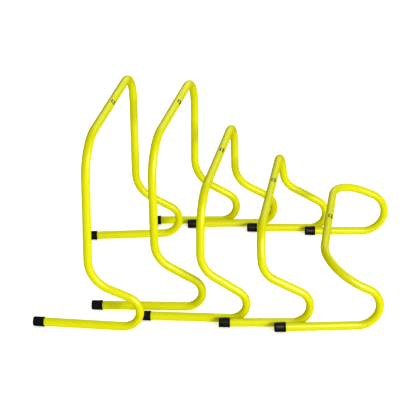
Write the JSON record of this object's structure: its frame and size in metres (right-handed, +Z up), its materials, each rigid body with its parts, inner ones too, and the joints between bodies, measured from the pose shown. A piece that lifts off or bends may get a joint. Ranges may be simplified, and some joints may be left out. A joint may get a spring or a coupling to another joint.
{
  "type": "agility hurdle set",
  "caption": "Graded set of low training hurdles, each one bent plastic tube with curved feet and slip-on end caps, standing nested in a row.",
  "frame": {"origin": "on the floor, at the middle of the set's footprint", "axes": "+X along the course, from the tallest hurdle to the lowest and towards the C-bends; +Y along the crossbars; +Z up"},
  "size_m": [0.7829, 0.5844, 0.466],
  "materials": {
    "tube": "satin to gloss, mass-coloured rigid plastic tube",
    "cap": "semi-matt soft black moulding",
    "mark": "thin printed ink"
  },
  "bodies": {
    "hurdle_xl": {"tube_xl": "tube", "cap_xl_near": "cap", "cap_xl_far": "cap", "mark_xl": "mark"},
    "hurdle_l": {"tube_l": "tube", "cap_l_near": "cap", "cap_l_far": "cap", "mark_l": "mark"},
    "hurdle_m": {"tube_m": "tube", "cap_m_near": "cap", "cap_m_far": "cap", "mark_m": "mark"},
    "hurdle_s": {"tube_s": "tube", "cap_s_near": "cap", "cap_s_far": "cap", "mark_s": "mark"},
    "hurdle_xs": {"tube_xs": "tube", "cap_xs_near": "cap", "cap_xs_far": "cap", "mark_xs": "mark"}
  },
  "joints": [
    {"name": "spacing_xl_l", "type": "slide", "parent": "hurdle_xl", "child": "hurdle_l", "axis": [1, 0, 0], "range_m": [0, 0.6]},
    {"name": "spacing_l_m", "type": "slide", "parent": "hurdle_l", "child": "hurdle_m", "axis": [1, 0, 0], "range_m": [0, 0.6]},
    {"name": "spacing_m_s", "type": "slide", "parent": "hurdle_m", "child": "hurdle_s", "axis": [1, 0, 0], "range_m": [0, 0.6]},
    {"name": "spacing_s_xs", "type": "slide", "parent": "hurdle_s", "child": "hurdle_xs", "axis": [1, 0, 0], "range_m": [0, 0.6]}
  ]
}
